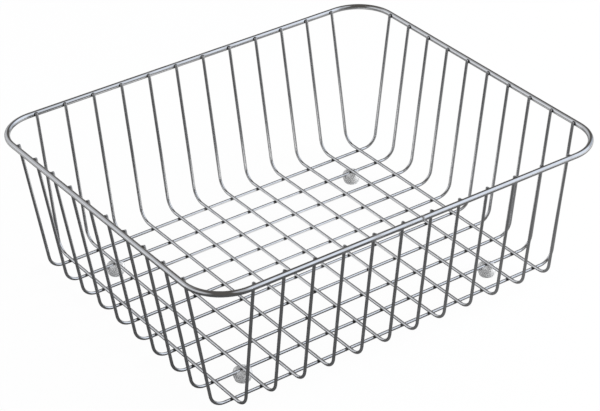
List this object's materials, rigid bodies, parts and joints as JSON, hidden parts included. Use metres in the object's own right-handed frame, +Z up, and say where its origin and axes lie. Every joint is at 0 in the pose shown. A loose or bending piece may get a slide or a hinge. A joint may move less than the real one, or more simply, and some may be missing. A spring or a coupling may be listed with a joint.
{
  "type": "wire basket",
  "caption": "Rectangular welded wire basket with rounded corners, sloping sides, an open mesh floor and push-on feet, sized for a sink bowl.",
  "frame": {"origin": "on the surface the basket stands on, under the middle of the rim", "axes": "+X along the basket's length, +Y from front to back, +Z up out of the open top"},
  "size_m": [0.3956, 0.3378, 0.1397],
  "materials": {
    "rim_steel": "bright polished steel wire",
    "mesh_steel": "bright polished steel wire",
    "foot_plastic": "soft translucent grey plastic"
  },
  "bodies": {
    "root": {"rim_wire": "rim_steel", "cross_wire_01": "mesh_steel", "cross_wire_02": "mesh_steel", "cross_wire_03": "mesh_steel", "cross_wire_04": "mesh_steel", "cross_wire_05": "mesh_steel", "cross_wire_06": "mesh_steel", "cross_wire_07": "mesh_steel", "cross_wire_08": "mesh_steel", "cross_wire_09": "mesh_steel", "cross_wire_10": "mesh_steel", "cross_wire_11": "mesh_steel", "cross_wire_12": "mesh_steel", "long_wire_01": "mesh_steel", "long_wire_02": "mesh_steel", "long_wire_03": "mesh_steel", "long_wire_04": "mesh_steel", "long_wire_05": "mesh_steel", "long_wire_06": "mesh_steel", "long_wire_07": "mesh_steel", "long_wire_08": "mesh_steel", "long_wire_09": "mesh_steel", "long_wire_10": "mesh_steel", "foot_front_left": "foot_plastic", "foot_front_right": "foot_plastic", "foot_back_left": "foot_plastic", "foot_back_right": "foot_plastic"}
  },
  "joints": []
}
